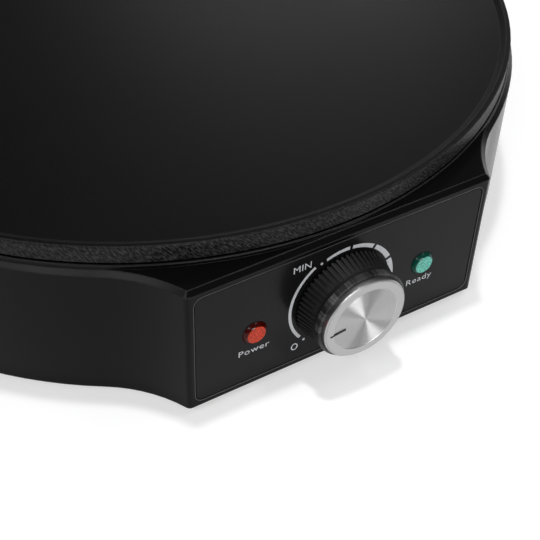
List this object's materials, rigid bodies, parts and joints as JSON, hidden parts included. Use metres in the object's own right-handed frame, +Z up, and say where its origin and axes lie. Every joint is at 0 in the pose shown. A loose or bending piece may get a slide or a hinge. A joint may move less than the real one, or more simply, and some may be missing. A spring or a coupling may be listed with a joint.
{
  "type": "electric crepe maker",
  "caption": "Electric crepe maker: a round cast cooking plate with a low lip on a moulded housing, with a thermostat knob and two lamps on its flat front.",
  "frame": {"origin": "on the table, below the middle of the overall length and width", "axes": "+Z up, +X to the right seen from the front, the control front faces -Y"},
  "size_m": [0.3096, 0.3278, 0.0671],
  "materials": {
    "nonstick_cast": "cast aluminium with a matte black non-stick coat",
    "housing_black": "gloss moulded",
    "panel_grey": "gloss",
    "cover_black": "fine grain",
    "knob_black": "satin gloss",
    "spun_aluminium": "spun",
    "lens_red": "clear red plastic with a faceted face",
    "lens_green": "clear green plastic with a faceted face",
    "lamp_glass": "clear",
    "white_plastic": "matte",
    "ceramic_white": "unglazed steatite",
    "element_steel": "heat-tinted steel sheath",
    "shield_steel": "aluminised sheet",
    "zinc_steel": "zinc plated",
    "tab_metal": "tinned brass",
    "brass_parts": "turned",
    "rubber_black": "matte"
  },
  "bodies": {
    "base": {"cooking_plate": "nonstick_cast", "heating_element": "element_steel", "element_clips": "zinc_steel", "clip_screws": "zinc_steel", "element_beads": "ceramic_white", "element_terminals": "tab_metal", "heat_shield": "shield_steel", "plate_spacers": "ceramic_white", "plate_screws": "zinc_steel", "earth_tab": "tab_metal", "earth_screw": "brass_parts", "thermal_fuse": "ceramic_white", "fuse_clip": "zinc_steel", "fuse_screw": "zinc_steel", "upper_housing": "housing_black", "front_panel": "panel_grey", "power_lens": "lens_red", "ready_lens": "lens_green", "power_lamp": "lamp_glass", "ready_lamp": "lamp_glass", "lamp_holders": "white_plastic", "thermostat_bracket": "zinc_steel", "bracket_screws": "zinc_steel", "thermostat_frame": "zinc_steel", "thermostat_washers": "ceramic_white", "thermostat_strips": "tab_metal", "thermostat_rivet": "zinc_steel", "thermostat_bush": "brass_parts", "thermostat_nut": "brass_parts", "terminal_block": "white_plastic", "terminal_screws": "brass_parts", "block_screws": "zinc_steel", "bottom_cover": "cover_black", "cover_screws": "zinc_steel", "feet": "rubber_black", "feet_screws": "zinc_steel", "cord_gland": "rubber_black"},
    "knob": {"knob_skirt": "knob_black", "knob_cap": "spun_aluminium", "knob_pointer": "knob_black", "thermostat_spindle": "zinc_steel"}
  },
  "joints": [
    {"name": "knob_turn", "type": "hinge", "parent": "base", "child": "knob", "pos_m": [0, -0.155, 0.0294], "axis": [0, 1, 0], "range_deg": [-39, 233]}
  ]
}
